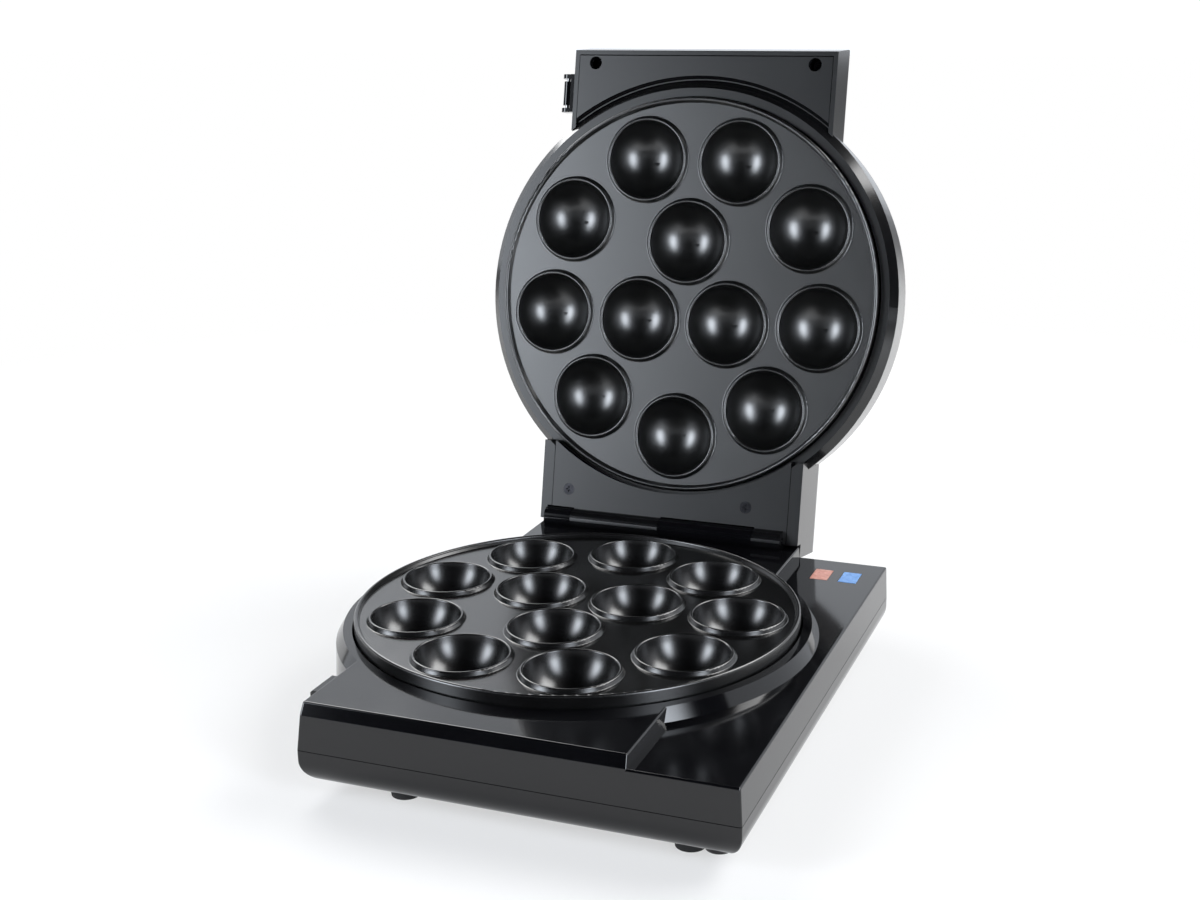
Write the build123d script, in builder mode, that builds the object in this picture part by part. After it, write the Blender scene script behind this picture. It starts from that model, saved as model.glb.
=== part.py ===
"""Countertop cake pop maker: twelve ball cups, a hinged lid that stands open, a side clasp.

Millimetres. While it is drawn, the centre of the shut plates is the origin: Z = 0 is the
parting plane, +Z up, +Y towards the hinge, +X towards the control panel. The lid's pieces
are drawn shut and are turned open about the hinge as they are written.
"""
import os
from copy import copy
from math import asin, cos, degrees, radians, sin, sqrt

from build123d import *

# ---------------------------------------------------------------- driving dimensions
# cooking plates
cup_radius = 20.8            # inside of each cup at its lip
ball_rise = 3.0              # centre of the cup's ball outside its mouth, so its wall has draft
outer_cups = 9
outer_pitch_radius = 76.0
outer_first_angle = 90.0     # one outer cup points at the hinge
inner_cups = 3
inner_pitch_radius = 28.5
inner_first_angle = -90.0    # and one inner cup away from it
lip_height = 2.2             # raised lip round each cup
lip_land = 1.5               # width of the lip's round top
lip_draft = 0.9              # how much wider the lip is at its foot
lip_foot_fillet = 0.6
lip_apron = 1.0              # flat beyond the lip's foot that the fillet runs out on
plate_gap = 0.5              # between the two plates' lips, shut
floor_margin = 3.9           # flat floor outside the outer cups' lips
rim_width = 2.8
rim_draft = 0.8              # how much wider the floor is at the rim's top
rim_rounding = 1.0
plate_thickness = 3.2
cup_wall = 2.2
skirt_depth = 6.6            # plate's outer wall below its lips
skirt_wall = 2.4

# heating elements: a tube ring pressed into a rib under each plate
element_radius = 3.25
element_ring_radius = 52.3
element_rib_width = 12.0
element_depth = 15.0         # tube's centre below the lips
element_opening = 40.0       # degrees left open between the ring's two ends
element_leg = 5.5            # cold end that turns away from the plate
element_pin_radius = 1.2
element_pin = 3.5
element_play = 0.2

# plate mounting
post_count = 3
post_inset = 13.5            # post's centre inside the rim
post_radius = 5.0
post_first_angle = 110.0
plate_screw_radius = 2.0
plate_screw_length = 12.0
screw_head_radius = 3.8
screw_head_height = 2.4
thread_play = 0.05           # a screw in its own hole
hole_play = 0.35             # a screw through a clearance hole

# heat shields
shield_sheet = 0.8
shield_inset = 3.4           # its wall inside the plate's rim
shield_depth = 26.4          # its floor's inner face below the lips
shield_rise = 17.0

# base: ring, drum and ledge round the plate, panel at the right, tub below
well_play = 1.0              # between the plate's rim and the ring
ring_face = 4.2
ring_bevel = 3.4
drum_draft = 0.8
ledge_drop = 6.2             # top of the ring and ledge below the parting plane
panel_drop = 5.6             # panel below the ledge
upper_shell_height = 22.0
tub_height = 16.8
front_margin = 17.8          # front of the base ahead of the drum
back_margin = 4.0            # back of the base behind the hinge
panel_margin = 6.4           # right side of the base beyond the drum
panel_draft = 0.7
ledge_left = 72.4
ledge_draft = 3.2            # the left wall leans out this much down to the seam
ledge_right = 73.4
step_draft = 0.3
front_lean = 2.1             # the front leans back this much above the panel's level
shell_wall = 2.5
bottom_rounding = 12.0
edge_rounding = 1.0
seam_gap = 0.3
well_wall = 2.4
flange_width = 23.9
flange_thickness = 2.8
boss_inset = 13.0            # screw bosses from the walls
left_boss_inset = 16.0
back_boss_inset = 18.0
right_boss_back = 50.0       # right rear boss ahead of the base's back, clear of the lamps
boss_radius = 4.6
boss_overlap = 3.0           # how far a boss reaches below the seam
housing_screw_radius = 2.0
housing_screw_length = 16.0
tub_post_radius = 5.6
counterbore_radius = 4.1
head_sink = 3.5              # head seat above the base's underside
pad_drop = 0.8               # pads round the screws stand below the underside
vent_length = 24.0
vent_width = 3.0
vent_pitch = 9.0
vent_row_pitch = 60.0
vent_count = 7

# feet
foot_radius = 7.2
foot_foot_radius = 6.4
foot_height = 6.0
foot_stem_radius = 2.6
foot_bead_radius = 3.4
foot_bead_height = 2.5
foot_inset = 20.2            # feet from the front and the back
left_foot_inset = 40.6
right_foot_inset = 27.2

# signal lamps
lens_width = 9.0
lens_length = 14.6
lens_proud = 0.15
lens_play = 0.2
lens_flange = 1.0
lens_flange_thickness = 1.2
lens_inset = 14.2            # blue lens from the panel's right edge
lens_pitch = 14.7
lens_back = 22.4             # lenses from the base's back
holder_wall = 1.4
holder_depth = 11.0
lamp_radius = 2.8
lamp_length = 13.0

# control and supply
thermostat_radius = 7.6
pad_radius = 5.4
pad_depth = 16.6
thermostat_blade = 0.8
thermostat_blade_level = 3.0
thermostat_blade_length = 26.0
thermostat_blade_width = 6.3
fuse_radius = 2.0
fuse_length = 12.0
fuse_lead_radius = 0.5
fuse_lead = 7.0
fuse_x = 14.0
fuse_y = -61.0
block_width = 22.0
block_length = 34.0
block_height = 10.5
block_ways = 3
block_inset = 24.7           # terminal block's centre from the right side
block_back = 80.0            # and from the back
block_screw_radius = 2.6
block_screw_depth = 3.0
block_way_radius = 1.8
gland_inset = 28.7           # gland's axis from the right side
gland_radius = 6.5
gland_flange_radius = 8.5
gland_flange = 2.6
gland_bore_radius = 3.7

# hinge
hinge_behind_ring = 15.8
hinge_rise = 3.2             # hinge's axis above the ledge
knuckle_radius = 5.5
knuckle_play = 0.6
knuckle_gap = 0.4
hinge_bar_width = 13.0       # thick bar under the hinge, inside the base
hinge_bar_depth = 7.5
hinge_left = -69.5           # left end of the first knuckle
base_left_knuckle = 15.5
lid_left_knuckle = 50.9
base_right_knuckle = 52.2
lid_right_knuckle = 16.1
pin_radius = 2.0
pin_play = 0.05
pin_inset = 1.5
lid_open_angle = 102.0

# lid
lid_half_width = 73.4
lid_front_back = 1.1         # handle's end behind the base's front
lid_front_lean = 0.2         # the handle's end leans out this much for each mm of height
lid_behind_hinge = 8.6
lid_top = 42.0
lid_rounding = 11.0
handle_face = 7.3
back_face = -3.0
back_cut_behind = 1.3        # the shell is cut up behind this line to clear the base
back_cut_z = 3.6
back_border = 6.2            # shell's edge beside the cover's face by the hinge
back_block_length = 43.3
lid_bar_width = 11.3
lid_bar_height = 9.0
lid_wall = 2.4
lid_ring_level = 4.7
lid_ring_face = 4.4
lid_bevel = 3.9
lid_drum_draft = 0.9
groove_width = 1.3           # groove between the ring's bevel and the handle's face
groove_level = 9.3
groove_rounding = 1.6
groove_backing = 3.4
cover_thickness = 2.4
cover_gap = 0.3
front_cover_gap = 0.5        # room for the front wall's lean
back_wall_play = 1.0         # the cover's curved wall by the hinge, outside the ring's opening
front_screw_inset = 12.0
front_screw_back = 6.9
front_screw_head = 2.7
front_well_radius = 3.5
front_well_depth = 10.3      # from the handle's face to the screw's seat
front_well_seat = 2.4
boss_tube_radius = 4.2
rear_screw_left_inset = 15.9
rear_screw_right_inset = 29.6
rear_screw_ahead = 16.0      # rear screws ahead of the hinge
lid_screw_radius = 1.75
lid_screw_length = 14.0
lid_screw_head = 3.1
lid_screw_sink = 1.6
recess_width = 0.8

# side clasp on the lid's handle
clasp_clear = 9.1            # bracket ahead of the drum
clasp_width = 13.0
bracket_length = 20.6
bracket_height = 24.0
bracket_thickness = 2.2
bracket_foot = 0.3           # above the handle's face
clasp_axis_out = 4.9         # clasp's pivot outside the handle's side
clasp_axis_rise = 3.9        # and above the handle's face
clasp_thickness = 2.0
clasp_hook = 3.2
clasp_hook_thickness = 2.2
clasp_barrel_radius = 2.3
clasp_pin_radius = 1.0
clasp_play = 0.3
ear_width = 2.3
ear_radius = 2.9
keeper_width = 17.0
keeper_drop = 1.4            # keeper's top below the ledge
keeper_slope = 1.0
keeper_height = 3.4

# ---------------------------------------------------------------- worked-out places
base_aligned = (Align.CENTER, Align.CENTER, Align.MIN)
top_aligned = (Align.CENTER, Align.CENTER, Align.MAX)

# plate
lip_level = -plate_gap / 2
floor_level = lip_level - lip_height
plate_back = floor_level - plate_thickness
skirt_level = lip_level - skirt_depth
lip_radius = cup_radius + lip_land
mouth_level = lip_level - lip_land / 2
ball_radius = sqrt(cup_radius**2 + ball_rise**2)
cup_back_radius = ball_radius + cup_wall
cup_cut_angle = -degrees(asin((mouth_level + ball_rise - floor_level) / cup_back_radius))
floor_radius = outer_pitch_radius + lip_radius + floor_margin
rim_radius = floor_radius + rim_width
element_level = lip_level - element_depth
post_pitch_radius = rim_radius - post_inset
shield_radius = rim_radius - shield_inset
shield_level = lip_level - shield_depth
flange_level = shield_level - shield_sheet
flange_back = flange_level - flange_thickness

# base
ring_opening_radius = rim_radius + well_play
ring_radius = ring_opening_radius + ring_face
drum_radius = ring_radius + ring_bevel
drum_foot_radius = drum_radius + drum_draft
flange_inner_radius = ring_opening_radius + well_wall - flange_width
ledge_level = -ledge_drop
panel_level = ledge_level - panel_drop
seam_level = ledge_level - upper_shell_height
base_bottom = seam_level - tub_height
tub_level = seam_level - seam_gap
tub_floor = base_bottom + shell_wall
hinge_y = ring_radius + hinge_behind_ring
hinge_z = ledge_level + hinge_rise
base_front = -drum_radius - front_margin
base_back = hinge_y + back_margin
panel_right = drum_radius + panel_margin
panel_right_foot = panel_right + panel_draft
ledge_left_foot = ledge_left + ledge_draft
ledge_step_foot = ledge_right + step_draft
boss_end = seam_level - boss_overlap
head_seat = base_bottom + head_sink
form_foot = seam_level - 2 * shell_wall    # the wall's shapes run on this far below the seam
boss_seat_depth = boss_end - head_seat
left_boss_places = [
    (left_boss_inset - ledge_left_foot, base_front + left_boss_inset),
    (left_boss_inset - ledge_left_foot, base_back - back_boss_inset),
]
right_boss_places = [
    (panel_right_foot - boss_inset, base_front + boss_inset),
    (panel_right_foot - boss_inset, base_back - right_boss_back),
]
foot_places = [
    (left_foot_inset - ledge_left_foot, base_front + foot_inset),
    (left_foot_inset - ledge_left_foot, base_back - foot_inset),
    (panel_right_foot - right_foot_inset, base_front + foot_inset),
    (panel_right_foot - right_foot_inset, base_back - foot_inset),
]
lens_y = base_back - lens_back
blue_lens_x = panel_right - lens_inset
red_lens_x = blue_lens_x - lens_pitch
lens_places = [(red_lens_x, lens_y), (blue_lens_x, lens_y)]
block_x = panel_right_foot - block_inset
block_y = base_back - block_back
gland_x = panel_right_foot - gland_inset
gland_level = seam_level

# hinge knuckles from left to right: base, lid, base, lid
hinge_steps = [
    hinge_left,
    hinge_left + base_left_knuckle,
    hinge_left + base_left_knuckle + lid_left_knuckle,
    hinge_left + base_left_knuckle + lid_left_knuckle + base_right_knuckle,
    hinge_left + base_left_knuckle + lid_left_knuckle + base_right_knuckle + lid_right_knuckle,
]
knuckle_spans = list(zip(hinge_steps[:-1], hinge_steps[1:]))
base_knuckles = knuckle_spans[0::2]
lid_knuckles = knuckle_spans[1::2]

# lid
lid_front = base_front + lid_front_back
lid_back = hinge_y + lid_behind_hinge
back_cut_y = hinge_y + back_cut_behind
back_block_front = back_cut_y - back_block_length
lid_ring_radius = ring_opening_radius + lid_ring_face
lid_drum_radius = lid_ring_radius + lid_bevel
lid_drum_top_radius = lid_drum_radius - lid_drum_draft
drum_edge = lid_ring_level + lid_bevel + cover_gap
cover_collar_radius = lid_drum_radius - lid_wall - 2 * cover_gap
groove_radius = lid_drum_radius + groove_width
groove_depth = groove_level - handle_face
groove_backing_radius = groove_radius + groove_backing
back_opening_radius = ring_opening_radius + back_wall_play
back_cover_width = 2 * (lid_half_width - back_border - cover_gap)
front_screw_x = lid_half_width - front_screw_inset
front_screw_y = lid_front + front_screw_back
front_screw_places = [(-front_screw_x, front_screw_y), (front_screw_x, front_screw_y)]
rear_screw_y = hinge_y - rear_screw_ahead
rear_screw_places = [
    (rear_screw_left_inset - lid_half_width, rear_screw_y),
    (lid_half_width - rear_screw_right_inset, rear_screw_y),
]
front_seat = handle_face + front_well_depth
front_well_top = front_seat + front_well_seat
drum_corner = sqrt(lid_drum_radius**2 - lid_half_width**2)
front_opening_length = -lid_front - lid_wall - drum_corner + lid_ring_face
front_cover_length = front_opening_length - front_cover_gap

# clasp
clasp_y = -drum_corner - clasp_clear - bracket_length / 2
clasp_axis_x = -lid_half_width - clasp_axis_out
clasp_axis_z = handle_face + clasp_axis_rise
ear_root_x = -lid_half_width - bracket_thickness / 2
keeper_top = ledge_level - keeper_drop
keeper_bottom = keeper_top - keeper_height
keeper_face = clasp_axis_x + clasp_thickness / 2 + clasp_play
clasp_reach = clasp_axis_z - keeper_bottom + clasp_play + clasp_hook_thickness


def ring_places(radius, count, first_angle, level=0.0):
    """Evenly spaced places on a circle about the plates' axis."""
    angles = [radians(first_angle + 360 / count * number) for number in range(count)]
    return [(radius * cos(angle), radius * sin(angle), level) for angle in angles]


def cup_places(level):
    """The cup centres, in an outer and an inner ring."""
    outer = ring_places(outer_pitch_radius, outer_cups, outer_first_angle, level)
    return outer + ring_places(inner_pitch_radius, inner_cups, inner_first_angle, level)


def post_places(level):
    """The posts that carry a plate stand between outer cups."""
    return ring_places(post_pitch_radius, post_count, post_first_angle, level)


def round_lip():
    """The raised lip of a cup on the floor's level: sloped outside, rounded on top."""
    shoulder = lip_height - lip_land / 2
    foot = lip_radius + lip_draft
    with BuildPart() as lip:
        with BuildSketch(Plane.XZ) as profile:
            with BuildLine():
                slope = Line((foot, 0), (lip_radius, shoulder))
                crown = ThreePointArc(slope @ 1, (cup_radius + lip_land / 2, lip_height),
                                      (cup_radius, shoulder))
                Polyline(
                    crown @ 1,
                    (0, shoulder),
                    (0, -plate_thickness / 2),
                    (foot + lip_apron, -plate_thickness / 2),
                    (foot + lip_apron, 0),
                    slope @ 0,
                )
            make_face()
            fillet(profile.vertices().sort_by_distance((foot, 0, 0))[0], lip_foot_fillet)
        revolve(axis=Axis.Z)
    return lip.part


def plate_casting():
    """One cooking plate, cups down: rim, skirt, lips, ball cups, tube rib and posts."""
    lip = round_lip()
    with BuildPart() as casting:
        with BuildSketch(Plane.XZ):
            with BuildLine():
                rim_inside = Line((floor_radius, floor_level),
                                  (floor_radius + rim_draft, lip_level - rim_rounding))
                rim_top = ThreePointArc(
                    rim_inside @ 1,
                    ((floor_radius + rim_draft + rim_radius) / 2, lip_level),
                    (rim_radius, lip_level - rim_rounding),
                )
                Polyline(
                    rim_top @ 1,
                    (rim_radius, skirt_level),
                    (rim_radius - skirt_wall, skirt_level),
                    (rim_radius - skirt_wall, plate_back),
                    (0, plate_back),
                    (0, floor_level),
                    rim_inside @ 0,
                )
            make_face()
        revolve(axis=Axis.Z)
        with Locations(*cup_places(floor_level)):
            Sphere(cup_back_radius, arc_size1=-90, arc_size2=cup_cut_angle, align=top_aligned)
            add(lip)
        with BuildSketch(Plane.XY.offset(element_level)):
            Circle(element_ring_radius + element_rib_width / 2)
            Circle(element_ring_radius - element_rib_width / 2, mode=Mode.SUBTRACT)
        extrude(amount=plate_back - element_level)
        with BuildSketch(Plane.XY.offset(shield_level)):
            with Locations(*post_places(0)):
                Circle(post_radius)
        extrude(amount=plate_back - shield_level)
        with BuildSketch(Plane.XY.offset(lip_level - pad_depth)):
            Circle(pad_radius)
        extrude(amount=pad_depth - lip_height)
        with Locations(*cup_places(mouth_level)):
            Cylinder(cup_radius, lip_land, align=base_aligned, mode=Mode.SUBTRACT)
        with Locations(*cup_places(mouth_level - ball_radius + ball_rise)):
            Sphere(ball_radius, arc_size2=-degrees(asin(ball_rise / ball_radius)),
                   align=base_aligned, mode=Mode.SUBTRACT)
        with BuildSketch(Plane.XZ):
            with Locations((element_ring_radius, element_level)):
                Circle(element_radius + element_play)
        revolve(axis=Axis.Z, mode=Mode.SUBTRACT)
        with Locations(*post_places(shield_level)):
            Cylinder(plate_screw_radius + thread_play, plate_screw_length, align=base_aligned,
                     mode=Mode.SUBTRACT)
    return casting.part


def element_tube():
    """A sheathed element for a plate with its cups down: an open ring and its two cold ends."""
    first = 90 + element_opening / 2
    with BuildPart() as tube:
        start = Vector(1, 0, 0).rotate(Axis.Z, first)
        with BuildSketch(Plane(origin=(0, 0, 0), x_dir=start, z_dir=start.cross(Vector(0, 0, 1)))):
            with Locations((element_ring_radius, element_level)):
                Circle(element_radius)
        revolve(axis=Axis.Z, revolution_arc=360 - element_opening)
        ends = [Vector(element_ring_radius, 0, element_level).rotate(Axis.Z, angle)
                for angle in (first, 180 - first)]
        with Locations(*ends):
            Sphere(element_radius)
            Cylinder(element_radius, element_leg, align=top_aligned)
            Cylinder(element_pin_radius, element_leg + element_pin, align=top_aligned)
    return tube.part


def shield_pan():
    """A pressed pan under a plate: its floor carries the posts, its wall holds in the heat."""
    with BuildPart() as pan:
        with BuildSketch(Plane.XY.offset(flange_level)):
            Circle(shield_radius)
        extrude(amount=shield_rise)
        with BuildSketch(Plane.XY.offset(shield_level)):
            Circle(shield_radius - shield_sheet)
        extrude(amount=shield_rise, mode=Mode.SUBTRACT)
        with Locations(*post_places(shield_level)):
            Hole(plate_screw_radius + hole_play, depth=shield_sheet)
        with Locations(*ring_places(element_ring_radius, 1, 90 + element_opening / 2, shield_level),
                       *ring_places(element_ring_radius, 1, 90 - element_opening / 2, shield_level)):
            Hole(element_radius + hole_play, depth=shield_sheet)
    return pan.part


def pan_head_screw(head_radius, head_height, radius, length):
    """A screw pointing up, with its head's underside at the origin and a cross recess."""
    with BuildPart() as screw:
        Cylinder(head_radius, head_height, align=top_aligned)
        fillet(screw.edges().group_by(Axis.Z)[0], head_height / 3)
        Cylinder(radius, length, align=base_aligned)
        chamfer(screw.edges().group_by(Axis.Z)[-1], radius / 3)
        with Locations((0, 0, -head_height)):
            for turn in (0, 90):
                Box(head_radius, radius / 2, head_height / 2, rotation=(0, 0, turn),
                    align=base_aligned, mode=Mode.SUBTRACT)
    return screw.part


def plate_screws():
    """The screws that hold plate and shield to a flange below them."""
    screw = pan_head_screw(screw_head_radius, screw_head_height, plate_screw_radius,
                           plate_screw_length)
    with BuildPart() as screws:
        with Locations(*post_places(flange_back)):
            add(screw)
    return screws.part


# ================================================================ base
with BuildPart() as lower_cooking_plate:
    add(plate_casting())
lower_cooking_plate.part.label = "lower_cooking_plate"

with BuildPart() as lower_heating_element:
    add(element_tube())
lower_heating_element.part.label = "lower_heating_element"

with BuildPart() as lower_heat_shield:
    add(shield_pan())
lower_heat_shield.part.label = "lower_heat_shield"

with BuildPart() as lower_plate_screws:
    add(plate_screws())
lower_plate_screws.part.label = "lower_plate_screws"


def ledge_block(inset):
    """The ledge from outside, or the room inside its walls: its front leans above the panel."""
    left_foot = ledge_left + ledge_draft * (ledge_level - form_foot) / upper_shell_height
    with BuildPart() as block:
        with BuildSketch(Plane.XZ.offset(-base_back)):
            with BuildLine():
                Polyline(
                    (-left_foot, form_foot),
                    (-ledge_left, ledge_level),
                    (ledge_right, ledge_level),
                    (ledge_step_foot, panel_level),
                    (ledge_step_foot, form_foot),
                    close=True,
                )
            make_face()
            offset(amount=-inset, kind=Kind.INTERSECTION)
        extrude(amount=base_back - base_front)
        with BuildSketch(Plane.YZ.offset(-left_foot)):
            with BuildLine():
                Polyline(
                    (base_front, form_foot),
                    (base_front, panel_level),
                    (base_front + front_lean, ledge_level),
                    (base_back, ledge_level),
                    (base_back, form_foot),
                    close=True,
                )
            make_face()
            offset(amount=-inset, kind=Kind.INTERSECTION)
        extrude(amount=left_foot + ledge_step_foot, mode=Mode.INTERSECT)
        if not inset:
            fillet(block.edges().filter_by(lambda edge: edge.center().Z > form_foot), edge_rounding)
    return block.part


def panel_block(inset):
    """The lower block at the right that carries the panel, or the room inside its walls."""
    right_foot = panel_right + panel_draft * (panel_level - form_foot) / (panel_level - seam_level)
    with BuildPart() as block:
        with BuildSketch(Plane.XZ.offset(inset - base_back)):
            with BuildLine():
                Polyline((0, form_foot), (0, panel_level), (panel_right, panel_level),
                         (right_foot, form_foot), close=True)
            make_face()
            offset(amount=-inset, kind=Kind.INTERSECTION)
        extrude(amount=base_back - base_front - 2 * inset)
        if not inset:
            fillet(block.edges().filter_by(lambda edge: edge.center().Z > form_foot), edge_rounding)
    return block.part


def base_form(inset):
    """The base above its seam and a little below it, or the room inside its walls."""
    with BuildPart() as form:
        add(ledge_block(inset))
        add(panel_block(inset))
        with BuildSketch(Plane.XZ):
            with BuildLine():
                Polyline(
                    (-inset, form_foot),
                    (drum_foot_radius, form_foot),
                    (drum_foot_radius, seam_level),
                    (drum_radius, panel_level),
                    (ring_radius, ledge_level),
                    (-inset, ledge_level),
                    close=True,
                )
            make_face()
            offset(amount=-inset, kind=Kind.INTERSECTION)
        revolve(axis=Axis.Z)
    return form.part


def tub_form(inset):
    """The rounded lower part of the base, or the room inside its walls."""
    floor = base_bottom + inset
    top = tub_level + 2 * inset
    rounding = bottom_rounding - inset
    side = drum_foot_radius - inset
    with BuildPart() as form:
        with BuildSketch(Plane.XY.offset(floor)):
            with Locations(((panel_right_foot - ledge_left_foot) / 2, (base_front + base_back) / 2)):
                Rectangle(panel_right_foot + ledge_left_foot - 2 * inset,
                          base_back - base_front - 2 * inset)
        extrude(amount=top - floor)
        fillet(form.edges().group_by(Axis.Z)[0], rounding)
        if not inset:
            fillet(form.edges().filter_by(Axis.Z), edge_rounding)
        with BuildSketch(Plane.XZ):
            with BuildLine():
                bottom = Line((0, floor), (side - rounding, floor))
                corner = TangentArc(bottom @ 1, (side, floor + rounding), tangent=bottom % 1)
                Polyline(corner @ 1, (side, top), (0, top), bottom @ 0)
            make_face()
        revolve(axis=Axis.Z)
    return form.part


def barrel(span, radius):
    """A cylinder about the hinge's axis between two places along it."""
    with BuildPart() as cylinder:
        with BuildSketch(Plane.YZ.offset(span[0])):
            with Locations((hinge_y, hinge_z)):
                Circle(radius)
        extrude(amount=span[1] - span[0])
    return cylinder.part


def knuckle(span):
    """One hinge knuckle: its share of the hinge, less the running gap at each end."""
    return barrel((span[0] + knuckle_gap / 2, span[1] - knuckle_gap / 2), knuckle_radius)


def trough(span):
    """The room round the other body's knuckle."""
    return barrel((span[0] - knuckle_gap / 2, span[1] + knuckle_gap / 2),
                  knuckle_radius + knuckle_play)


def pin_hole():
    """The bore for the hinge pin: blind at the left end, open at the right."""
    return barrel((hinge_steps[0] + pin_inset, hinge_steps[-1]), pin_radius + pin_play)


with BuildPart() as base_upper_shell:
    add(base_form(0))
    split(bisect_by=Plane.XY.offset(seam_level), keep=Keep.TOP)
    add(base_form(shell_wall), mode=Mode.SUBTRACT)
    # flange that carries the lower plate, and the well wall up to the ring
    with BuildSketch(Plane.XY.offset(flange_back)):
        Circle(ring_opening_radius + well_wall)
        Circle(flange_inner_radius, mode=Mode.SUBTRACT)
    extrude(amount=flange_thickness)
    with BuildSketch(Plane.XY.offset(flange_level)):
        Circle(ring_opening_radius + well_wall)
    extrude(amount=ledge_level - shell_wall - flange_level)
    with BuildSketch(Plane.XY.offset(flange_level)):
        Circle(ring_opening_radius)
    extrude(amount=ledge_level - flange_level, mode=Mode.SUBTRACT)
    with Locations(*post_places(flange_level)):
        Hole(plate_screw_radius + hole_play, depth=flange_thickness)
    # bosses for the housing screws
    with BuildSketch(Plane.XY.offset(boss_end)):
        with Locations(*left_boss_places):
            Circle(boss_radius)
    extrude(amount=ledge_level - shell_wall / 2 - boss_end)
    with BuildSketch(Plane.XY.offset(boss_end)):
        with Locations(*right_boss_places):
            Circle(boss_radius)
    extrude(amount=panel_level - shell_wall / 2 - boss_end)
    with BuildSketch(Plane.XY.offset(boss_end)):
        with Locations(*left_boss_places, *right_boss_places):
            Circle(housing_screw_radius + thread_play)
    extrude(amount=housing_screw_length - boss_seat_depth, mode=Mode.SUBTRACT)
    # hinge: a thick bar inside the ledge, troughs for the lid's knuckles, the base's own knuckles
    with BuildSketch(Plane.YZ.offset(-ledge_left)):
        with Locations((base_back - shell_wall / 2, ledge_level - shell_wall / 2)):
            Rectangle(hinge_bar_width, hinge_bar_depth, align=(Align.MAX, Align.MAX))
    extrude(amount=ledge_left + ledge_right - shell_wall)
    for span in lid_knuckles:
        add(trough(span), mode=Mode.SUBTRACT)
    for span in base_knuckles:
        add(knuckle(span))
    add(pin_hole(), mode=Mode.SUBTRACT)
    # windows for the lamps' lenses, and the upper half of the cord's hole
    with BuildSketch(Plane.XY.offset(panel_level)):
        with Locations(*lens_places):
            Rectangle(lens_width + 2 * lens_play, lens_length + 2 * lens_play)
    extrude(amount=-shell_wall, mode=Mode.SUBTRACT)
    with BuildSketch(Plane.XZ.offset(-base_back)):
        with Locations((gland_x, gland_level)):
            Circle(gland_radius + lens_play)
    extrude(amount=shell_wall, mode=Mode.SUBTRACT)
    # keeper bar on the left wall for the clasp
    with BuildSketch(Plane.XZ.offset(-clasp_y - keeper_width / 2)):
        with BuildLine():
            Polyline(
                (-ledge_left + shell_wall / 2, keeper_top),
                (keeper_face + keeper_slope, keeper_top),
                (keeper_face, keeper_top - keeper_slope),
                (keeper_face, keeper_bottom),
                (-ledge_left + shell_wall / 2, keeper_bottom),
                close=True,
            )
        make_face()
    extrude(amount=keeper_width)
base_upper_shell.part.label = "base_upper_shell"

with BuildPart() as base_lower_tub:
    add(tub_form(0))
    add(tub_form(shell_wall), mode=Mode.SUBTRACT)
    # posts for the housing screws, with pads under the floor
    with BuildSketch(Plane.XY.offset(base_bottom - pad_drop)):
        with Locations(*left_boss_places, *right_boss_places):
            Circle(tub_post_radius)
    extrude(amount=boss_end - base_bottom + pad_drop)
    with BuildSketch(Plane.XY.offset(base_bottom - pad_drop)):
        with Locations(*left_boss_places, *right_boss_places):
            Circle(counterbore_radius)
    extrude(amount=head_seat - base_bottom + pad_drop, mode=Mode.SUBTRACT)
    with BuildSketch(Plane.XY.offset(head_seat)):
        with Locations(*left_boss_places, *right_boss_places):
            Circle(housing_screw_radius + hole_play)
    extrude(amount=boss_end - head_seat, mode=Mode.SUBTRACT)
    # holes for the feet, slots that let warm air in, and the lower half of the cord's hole
    with BuildSketch(Plane.XY.offset(base_bottom)):
        with Locations(*foot_places):
            Circle(foot_stem_radius)
        with GridLocations(vent_pitch, vent_row_pitch, vent_count, 2):
            SlotOverall(vent_length, vent_width, rotation=90)
    extrude(amount=shell_wall, mode=Mode.SUBTRACT)
    with BuildSketch(Plane.XZ.offset(-base_back)):
        with Locations((gland_x, gland_level)):
            Circle(gland_radius + lens_play)
    extrude(amount=shell_wall, mode=Mode.SUBTRACT)
    with BuildSketch(Plane.XZ.offset(shell_wall - base_back)):
        with Locations((gland_x, gland_level)):
            Circle(gland_flange_radius + lens_play)
    extrude(amount=gland_flange, mode=Mode.SUBTRACT)
base_lower_tub.part.label = "base_lower_tub"

housing_screw = pan_head_screw(screw_head_radius, screw_head_height, housing_screw_radius,
                               housing_screw_length)
with BuildPart() as housing_screws:
    with Locations(*[(x, y, head_seat) for x, y in left_boss_places + right_boss_places]):
        add(housing_screw)
housing_screws.part.label = "housing_screws"

with BuildPart() as rubber_feet:
    with Locations(*[(x, y, base_bottom) for x, y in foot_places]):
        Cone(foot_foot_radius, foot_radius, foot_height, align=top_aligned)
        Cylinder(foot_stem_radius, shell_wall, align=base_aligned)
    with Locations(*[(x, y, tub_floor) for x, y in foot_places]):
        Cone(foot_bead_radius, foot_stem_radius, foot_bead_height, align=base_aligned)
rubber_feet.part.label = "rubber_feet"

# thermostat pressed between the plate's middle pad and the shield's floor
with BuildPart() as thermostat:
    with BuildSketch(Plane.XY.offset(shield_level)):
        Circle(thermostat_radius)
    extrude(amount=lip_level - pad_depth - shield_level)
    with BuildSketch(Plane.XY.offset(shield_level + thermostat_blade_level)):
        Rectangle(thermostat_blade_length, thermostat_blade_width)
    extrude(amount=thermostat_blade)
thermostat.part.label = "thermostat"

with BuildPart() as thermal_fuse:
    with Locations((fuse_x, fuse_y, shield_level + fuse_radius)):
        Cylinder(fuse_radius, fuse_length, rotation=(0, 90, 0))
        Cylinder(fuse_lead_radius, fuse_length + 2 * fuse_lead, rotation=(0, 90, 0))
thermal_fuse.part.label = "thermal_fuse"

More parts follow.
